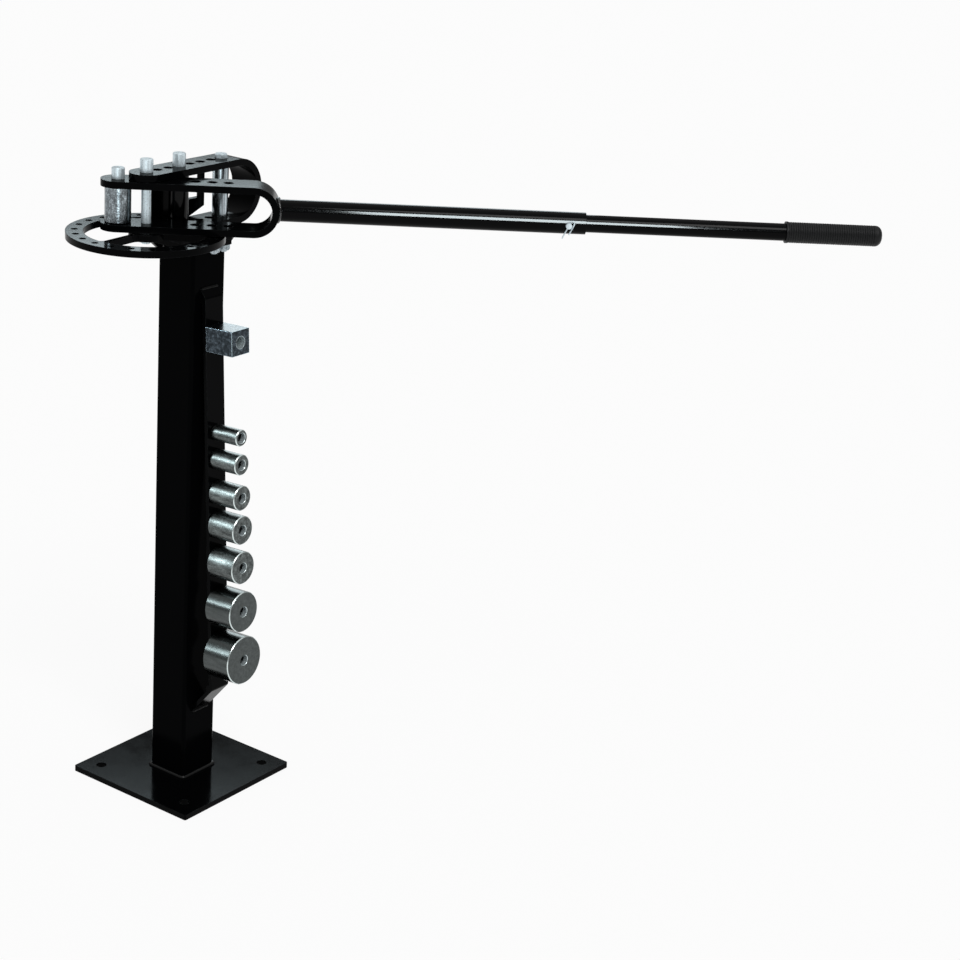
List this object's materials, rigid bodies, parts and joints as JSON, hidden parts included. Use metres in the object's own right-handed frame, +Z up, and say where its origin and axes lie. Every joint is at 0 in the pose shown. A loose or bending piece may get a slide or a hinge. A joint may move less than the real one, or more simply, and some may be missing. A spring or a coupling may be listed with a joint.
{
  "type": "compact metal bender",
  "caption": "Floor-standing hand metal bender: long lever with a pinned forming die, fixed yoke with stop pin and index plate, and a post rack of spare dies.",
  "frame": {"origin": "middle of the floor bolt pattern, on the base plate's underside", "axes": "+Z up, +X along the fixed yoke away from the pivot, -Y the side of the post with the die rack"},
  "size_m": [0.8073, 0.9425, 1.0035],
  "materials": {
    "black_paint": "gloss black powder coat",
    "zinc_plate": "bright zinc plate",
    "grip_rubber": "ribbed black rubber"
  },
  "bodies": {
    "stand": {"base_plate": "black_paint", "post": "black_paint", "post_cap": "black_paint", "mount_gussets": "black_paint", "head_plate": "black_paint", "mount_studs": "zinc_plate", "mount_nuts": "zinc_plate", "die_rack": "black_paint", "rack_rods": "black_paint", "index_plate": "black_paint", "frame_yoke": "black_paint", "back_plate": "black_paint", "spacer_sleeve": "zinc_plate", "spacer_bolt": "zinc_plate", "thrust_washer": "zinc_plate"},
    "lever": {"lever_yoke": "black_paint", "outer_tube": "black_paint", "inner_tube": "black_paint", "grip": "grip_rubber"},
    "pivot_pin": {"pivot_pin": "zinc_plate"},
    "stop_pin": {"stop_pin": "zinc_plate"},
    "stop_sleeve": {"stop_sleeve": "black_paint"},
    "forming_pin": {"forming_pin": "zinc_plate"},
    "forming_die": {"forming_die": "zinc_plate"},
    "lock_pin": {"lock_pin": "zinc_plate"},
    "lock_clip": {"lock_clip": "zinc_plate"},
    "square_block": {"square_block": "zinc_plate"},
    "die_25": {"die_25": "zinc_plate"},
    "die_32": {"die_32": "zinc_plate"},
    "die_38": {"die_38": "zinc_plate"},
    "die_44": {"die_44": "zinc_plate"},
    "die_51": {"die_51": "zinc_plate"},
    "die_64": {"die_64": "zinc_plate"},
    "die_76": {"die_76": "zinc_plate"}
  },
  "joints": [
    {"name": "lever_swing", "type": "hinge", "parent": "stand", "child": "lever", "pos_m": [-0.098, 0, 0.937], "axis": [0, 0, 1], "range_deg": [-58, 12]},
    {"name": "pivot_pin_lift", "type": "slide", "parent": "stand", "child": "pivot_pin", "axis": [0, 0, 1], "range_m": [0, 0.105]},
    {"name": "stop_pin_lift", "type": "slide", "parent": "stand", "child": "stop_pin", "axis": [0, 0, 1], "range_m": [0, 0.1]},
    {"name": "stop_sleeve_spin", "type": "hinge", "parent": "stand", "child": "stop_sleeve", "pos_m": [-0.0311, 0, 0.936], "axis": [0, 0, 1], "continuous": true},
    {"name": "forming_pin_lift", "type": "slide", "parent": "lever", "child": "forming_pin", "axis": [0, 0, 1], "range_m": [0, 0.08]},
    {"name": "forming_die_spin", "type": "hinge", "parent": "lever", "child": "forming_die", "pos_m": [-0.12371, 0.03064, 0.937], "axis": [0, 0, 1], "continuous": true},
    {"name": "lock_pin_pull", "type": "slide", "parent": "lever", "child": "lock_pin", "axis": [-0.766, -0.6428, 0], "range_m": [0, 0.045]},
    {"name": "lock_clip_pull", "type": "slide", "parent": "lock_pin", "child": "lock_clip", "axis": [0.2614, -0.3116, 0.9135], "range_m": [0, 0.03]},
    {"name": "square_block_pull", "type": "slide", "parent": "stand", "child": "square_block", "axis": [0, -0.9987, 0.0503], "range_m": [0, 0.03]},
    {"name": "die_25_pull", "type": "slide", "parent": "stand", "child": "die_25", "axis": [0, -0.9987, 0.0503], "range_m": [0, 0.05]},
    {"name": "die_32_pull", "type": "slide", "parent": "stand", "child": "die_32", "axis": [0, -0.9987, 0.0503], "range_m": [0, 0.05]},
    {"name": "die_38_pull", "type": "slide", "parent": "stand", "child": "die_38", "axis": [0, -0.9987, 0.0503], "range_m": [0, 0.05]},
    {"name": "die_44_pull", "type": "slide", "parent": "stand", "child": "die_44", "axis": [0, -0.9987, 0.0503], "range_m": [0, 0.05]},
    {"name": "die_51_pull", "type": "slide", "parent": "stand", "child": "die_51", "axis": [0, -0.9987, 0.0503], "range_m": [0, 0.05]},
    {"name": "die_64_pull", "type": "slide", "parent": "stand", "child": "die_64", "axis": [0, -0.9987, 0.0503], "range_m": [0, 0.05]},
    {"name": "die_76_pull", "type": "slide", "parent": "stand", "child": "die_76", "axis": [0, -0.9987, 0.0503], "range_m": [0, 0.05]}
  ]
}
